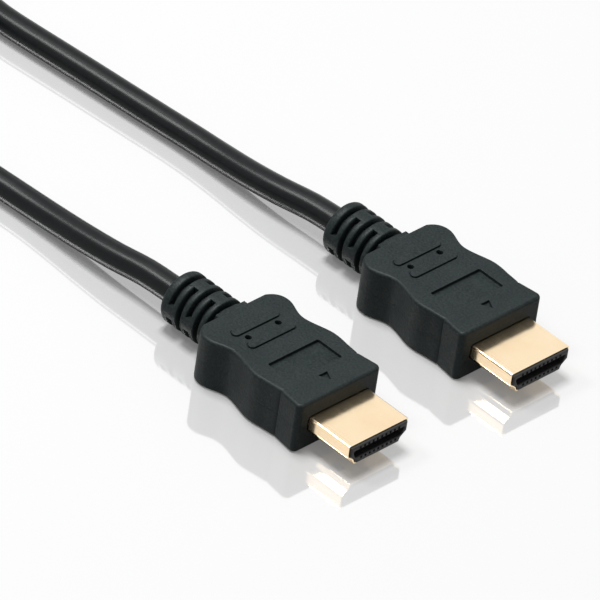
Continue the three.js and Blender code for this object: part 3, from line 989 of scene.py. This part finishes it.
def strap_weave():
    """A woven strap: bands along and across, with a soft sheen."""
    material = bpy.data.materials.new("strap_weave")
    material.use_nodes = True
    tree = material.node_tree
    place = tree.nodes.new("ShaderNodeTexCoord").outputs["Object"]
    bands = []
    for direction in ("Y", "DIAGONAL"):
        wave = tree.nodes.new("ShaderNodeTexWave")
        wave.bands_direction = direction
        wave.inputs["Scale"].default_value = WEAVE_SCALE
        wave.inputs["Distortion"].default_value = WEAVE_DISTORTION
        tree.links.new(place, wave.inputs["Vector"])
        bands.append(wave.outputs["Fac"])
    woven = tree.nodes.new("ShaderNodeMath")
    woven.operation = "MULTIPLY"
    tree.links.new(bands[0], woven.inputs[0])
    tree.links.new(bands[1], woven.inputs[1])
    ramp = tree.nodes.new("ShaderNodeValToRGB")
    ramp.color_ramp.elements[0].color = (0.006, 0.006, 0.006, 1)
    ramp.color_ramp.elements[1].color = (0.01, 0.01, 0.011, 1)
    tree.links.new(woven.outputs[0], ramp.inputs["Fac"])
    shader = tree.nodes["Principled BSDF"]
    shader.inputs["Sheen Weight"].default_value = 0.1
    tree.links.new(ramp.outputs["Color"], shader.inputs["Base Color"])
    cloud = noise(tree, place, STRAP_CLOUD_SCALE)
    tree.links.new(between(tree, cloud, 0.75, 0.95), shader.inputs["Roughness"])
    tree.links.new(bumped(tree, woven.outputs[0], 0.6, WEAVE_DEPTH), shader.inputs["Normal"])
    return material


def studio_floor():
    """A polished pale board that mirrors the plugs faintly and softly."""
    material = bpy.data.materials.new("studio_floor")
    material.use_nodes = True
    shader = material.node_tree.nodes["Principled BSDF"]
    shader.inputs["Base Color"].default_value = (0.16, 0.16, 0.16, 1)
    shader.inputs["Roughness"].default_value = 0.06
    shader.inputs["IOR"].default_value = 3.1
    shader.inputs["Emission Color"].default_value = (1, 1, 1, 1)
    shader.inputs["Emission Strength"].default_value = 0.14
    return material


# Floor and lights


def make_floor():
    mesh = bmesh.new()
    bmesh.ops.create_grid(mesh, x_segments=1, y_segments=1, size=FLOOR_SIZE)
    data = bpy.data.meshes.new("floor")
    mesh.to_mesh(data)
    mesh.free()
    data.materials.append(studio_floor())
    floor = bpy.data.objects.new("floor", data)
    bpy.context.collection.objects.link(floor)


def softbox(name, place, size, power):
    """A rectangular light that points at the middle of the frame."""
    data = bpy.data.lights.new(name, "AREA")
    data.shape = "RECTANGLE"
    data.size, data.size_y = size
    data.energy = power
    light = bpy.data.objects.new(name, data)
    light.location = place
    light.rotation_euler = (-Vector(place)).to_track_quat("-Z", "Y").to_euler()
    bpy.context.collection.objects.link(light)


def make_lights():
    for name, (place, size, power) in SOFT_BOXES.items():
        softbox(name, place, size, power)
    world = bpy.data.worlds.new("studio")
    world.use_nodes = True
    surround = world.node_tree.nodes["Background"]
    surround.inputs["Color"].default_value = (1, 1, 1, 1)
    surround.inputs["Strength"].default_value = 1.0
    bpy.context.scene.world = world
    bpy.context.scene.view_settings.view_transform = "Standard"


moulded = moulded_surface()
plated = plated_surface()
black_plastic = finish_with(
    "moulded_black_plastic", moulded, gloss=0.06, Dark=(0.0012, 0.0026, 0.0027),
    Light=(0.0085, 0.011, 0.011),
    Grain_Scale=2600.0, Grain_Strength=0.9, Smoothest=0.42, Roughest=0.52,
)
insert_plastic = finish_with(
    "insert_black_plastic", moulded, gloss=0.15, Dark=(0.006, 0.006, 0.006),
    Light=(0.014, 0.014, 0.014),
    Grain_Scale=4000.0, Grain_Strength=0.08, Smoothest=0.3, Roughest=0.42,
)
sheath = finish_with(
    "cable_sheath", moulded, gloss=0.12, Dark=(0.0008, 0.0012, 0.0013),
    Light=(0.002, 0.0026, 0.0028),
    Grain_Scale=1300.0, Grain_Strength=0.1, Smoothest=0.27, Roughest=0.33,
)
gold_shell = finish_with(
    "gold_plating", plated, metallic=1, Deep=(0.91, 0.69, 0.43), Pale=(0.97, 0.81, 0.58),
    Waviness=0.1, Smoothest=0.13, Roughest=0.21,
)
gold_contact = finish_with(
    "contact_gold", plated, metallic=1, Deep=(0.8, 0.55, 0.2), Pale=(0.98, 0.78, 0.42),
    Waviness=0.05, Smoothest=0.2, Roughest=0.32,
)

make_camera()
cable = make_cable(sheath)
tie = make_tie(strap_weave())
for letter in PLUG_FRONT_X:
    make_body(letter, black_plastic)
    make_shell(letter, gold_shell)
    make_insert(letter, insert_plastic)
    for row, count in CONTACT_ROWS.items():
        for i in range(count):
            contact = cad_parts[f"plug_{letter}_contact_{row}_{i + 1}"]
            contact.material_slots[0].material = gold_contact
make_floor()
make_lights()
